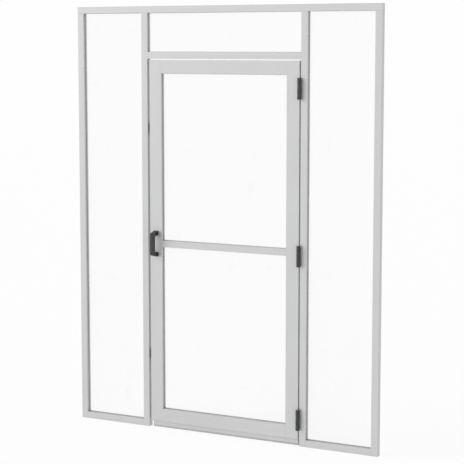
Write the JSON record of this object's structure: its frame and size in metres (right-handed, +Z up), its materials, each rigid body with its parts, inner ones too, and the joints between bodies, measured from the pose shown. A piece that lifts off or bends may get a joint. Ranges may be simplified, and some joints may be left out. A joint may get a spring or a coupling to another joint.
{
  "type": "aisle containment door",
  "caption": "Glazed aluminium door leaf, self-closing on spring hinges, in a frame with sidelights and a transom light; closes off the end of an equipment aisle.",
  "frame": {"origin": "on the floor, midway between the two jambs and at mid-depth of the frame profiles", "axes": "+X to the hinge side as seen from the pull side, +Y away from the pull side, +Z up"},
  "size_m": [1.845, 0.089, 2.4],
  "materials": {
    "anodised_aluminium": "clear satin anodised, fine drawing lines along each profile",
    "mill_aluminium": "mill finish, sawn ends",
    "clear_sheet": "clear polycarbonate sheet, 5 mm",
    "grey_seal": "grey extruded seal, matt",
    "black_plastic": "black moulded, fine texture",
    "black_hinge_finish": "black powder coat on steel",
    "zinc_steel": "zinc plated",
    "grey_plastic": "light grey moulded, fine texture",
    "black_rubber": "black rubber, matt"
  },
  "bodies": {
    "frame": {"left_stile": "anodised_aluminium", "left_jamb": "anodised_aluminium", "right_jamb": "anodised_aluminium", "right_stile": "anodised_aluminium", "top_rail": "anodised_aluminium", "header_rail": "anodised_aluminium", "left_bottom_rail": "anodised_aluminium", "right_bottom_rail": "anodised_aluminium", "left_sidelight_panel": "clear_sheet", "right_sidelight_panel": "clear_sheet", "transom_panel": "clear_sheet", "left_sidelight_gasket": "grey_seal", "right_sidelight_gasket": "grey_seal", "transom_gasket": "grey_seal", "frame_joint_blocks": "mill_aluminium", "frame_joint_screws": "zinc_steel", "foot_plugs": "black_plastic", "top_rail_caps": "anodised_aluminium", "jamb_hinge_leaves": "black_hinge_finish", "jamb_hinge_screws": "zinc_steel", "jamb_backing_plates": "zinc_steel", "hinge_pins": "zinc_steel", "hinge_springs": "zinc_steel", "hinge_collars": "black_hinge_finish", "stop_plates": "anodised_aluminium", "stop_buffers": "black_rubber", "stop_screws": "zinc_steel"},
    "door_leaf": {"lock_stile": "anodised_aluminium", "hinge_stile": "anodised_aluminium", "door_top_rail": "anodised_aluminium", "door_mid_rail": "anodised_aluminium", "door_bottom_rail": "anodised_aluminium", "door_upper_panel": "clear_sheet", "door_lower_panel": "clear_sheet", "door_upper_gasket": "grey_seal", "door_lower_gasket": "grey_seal", "door_joint_blocks": "mill_aluminium", "door_joint_screws": "zinc_steel", "stile_end_caps": "grey_plastic", "door_hinge_leaves": "black_hinge_finish", "door_hinge_screws": "zinc_steel", "door_backing_plates": "zinc_steel", "hinge_bushes": "black_plastic", "pull_handle": "black_plastic", "handle_screws": "zinc_steel", "sweep_channel": "anodised_aluminium", "sweep_blade": "grey_seal", "sweep_screws": "zinc_steel"}
  },
  "joints": [
    {"name": "leaf_swing", "type": "hinge", "parent": "frame", "child": "door_leaf", "pos_m": [0.464, -0.031, 1.0495], "axis": [0, 0, 1], "range_deg": [0, 180], "stiffness_Nm_per_rad": 4, "springref_deg": -45.84}
  ]
}
